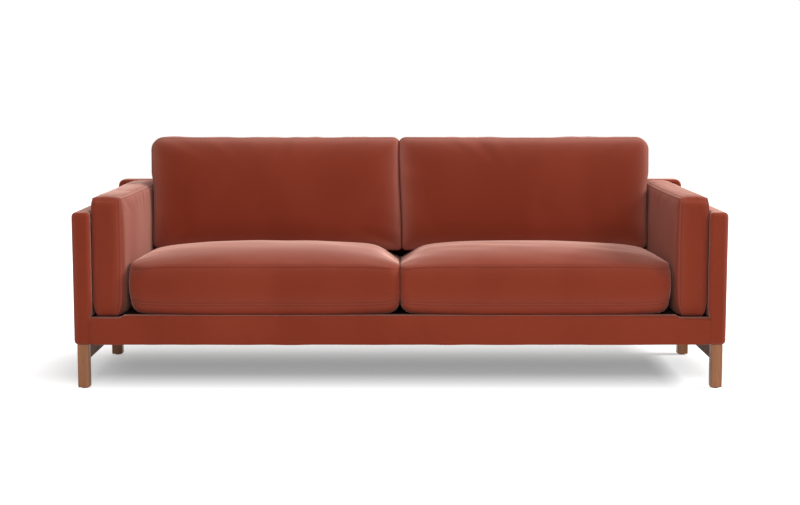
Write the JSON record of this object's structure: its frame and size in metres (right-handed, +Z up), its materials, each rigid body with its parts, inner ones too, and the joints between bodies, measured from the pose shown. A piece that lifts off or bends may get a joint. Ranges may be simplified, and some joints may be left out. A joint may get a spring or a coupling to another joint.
{
  "type": "tuxedo sofa",
  "caption": "Upholstered sofa with square arms, loose boxed seat, back and arm cushions, and square wooden legs joined by side stretchers.",
  "frame": {"origin": "on the floor, in the middle of the overall width and depth", "axes": "+X along the width to the right as seen from the front, the front faces -Y, +Z up"},
  "size_m": [2.18, 0.9582, 0.81],
  "materials": {
    "velvet": "matte",
    "foam": "matte",
    "timber": "matte",
    "plywood": "matte",
    "leg_wood": "satin",
    "webbing": "matte",
    "deck_cloth": "matte",
    "dust_cloth": "matte",
    "steel": "satin",
    "nylon": "matte"
  },
  "bodies": {
    "frame": {"arm_cover_left": "velvet", "arm_cover_right": "velvet", "arm_foam_left": "foam", "arm_foam_right": "foam", "arm_core_left": "plywood", "arm_core_right": "plywood", "back_cover": "velvet", "back_foam": "foam", "back_bottom_rail": "timber", "back_top_rail": "timber", "back_post_left": "timber", "back_post_centre": "timber", "back_post_right": "timber", "front_rail_cover": "velvet", "front_rail": "timber", "rear_rail": "timber", "centre_rail": "timber", "side_rail_left": "timber", "side_rail_right": "timber", "corner_block_front_left": "timber", "corner_block_front_right": "timber", "corner_block_rear_left": "timber", "corner_block_rear_right": "timber", "arm_bolt_1_left": "steel", "arm_bolt_1_right": "steel", "arm_bolt_2_left": "steel", "arm_bolt_2_right": "steel", "back_bolt_left": "steel", "back_bolt_right": "steel", "webbing_run_1": "webbing", "webbing_run_2": "webbing", "webbing_run_3": "webbing", "webbing_run_4": "webbing", "webbing_run_5": "webbing", "webbing_run_6": "webbing", "webbing_cross_1": "webbing", "webbing_cross_2": "webbing", "seat_deck": "deck_cloth", "dust_cover": "dust_cloth", "leg_front_left": "leg_wood", "leg_front_right": "leg_wood", "leg_rear_left": "leg_wood", "leg_rear_right": "leg_wood", "side_stretcher_left": "leg_wood", "side_stretcher_right": "leg_wood", "leg_stud_front_left": "steel", "leg_stud_front_right": "steel", "leg_stud_rear_left": "steel", "leg_stud_rear_right": "steel", "glide_front_left": "nylon", "glide_front_right": "nylon", "glide_rear_left": "nylon", "glide_rear_right": "nylon"},
    "left_seat": {"seat_cushion_left": "velvet"},
    "right_seat": {"seat_cushion_right": "velvet"},
    "left_back": {"back_cushion_left": "velvet"},
    "right_back": {"back_cushion_right": "velvet"},
    "left_arm": {"arm_cushion_left": "velvet"},
    "right_arm": {"arm_cushion_right": "velvet"}
  },
  "joints": [
    {"name": "left_seat_slide", "type": "slide", "parent": "frame", "child": "left_seat", "axis": [0, -1, 0], "range_m": [0, 0.83]},
    {"name": "right_seat_slide", "type": "slide", "parent": "frame", "child": "right_seat", "axis": [0, -1, 0], "range_m": [0, 0.83]},
    {"name": "left_back_lift", "type": "slide", "parent": "left_seat", "child": "left_back", "axis": [0, 0, 1], "range_m": [0, 0.45]},
    {"name": "right_back_lift", "type": "slide", "parent": "right_seat", "child": "right_back", "axis": [0, 0, 1], "range_m": [0, 0.45]},
    {"name": "left_arm_slide", "type": "slide", "parent": "frame", "child": "left_arm", "axis": [0, -1, 0], "range_m": [0, 0.88]},
    {"name": "right_arm_slide", "type": "slide", "parent": "frame", "child": "right_arm", "axis": [0, -1, 0], "range_m": [0, 0.88]}
  ]
}
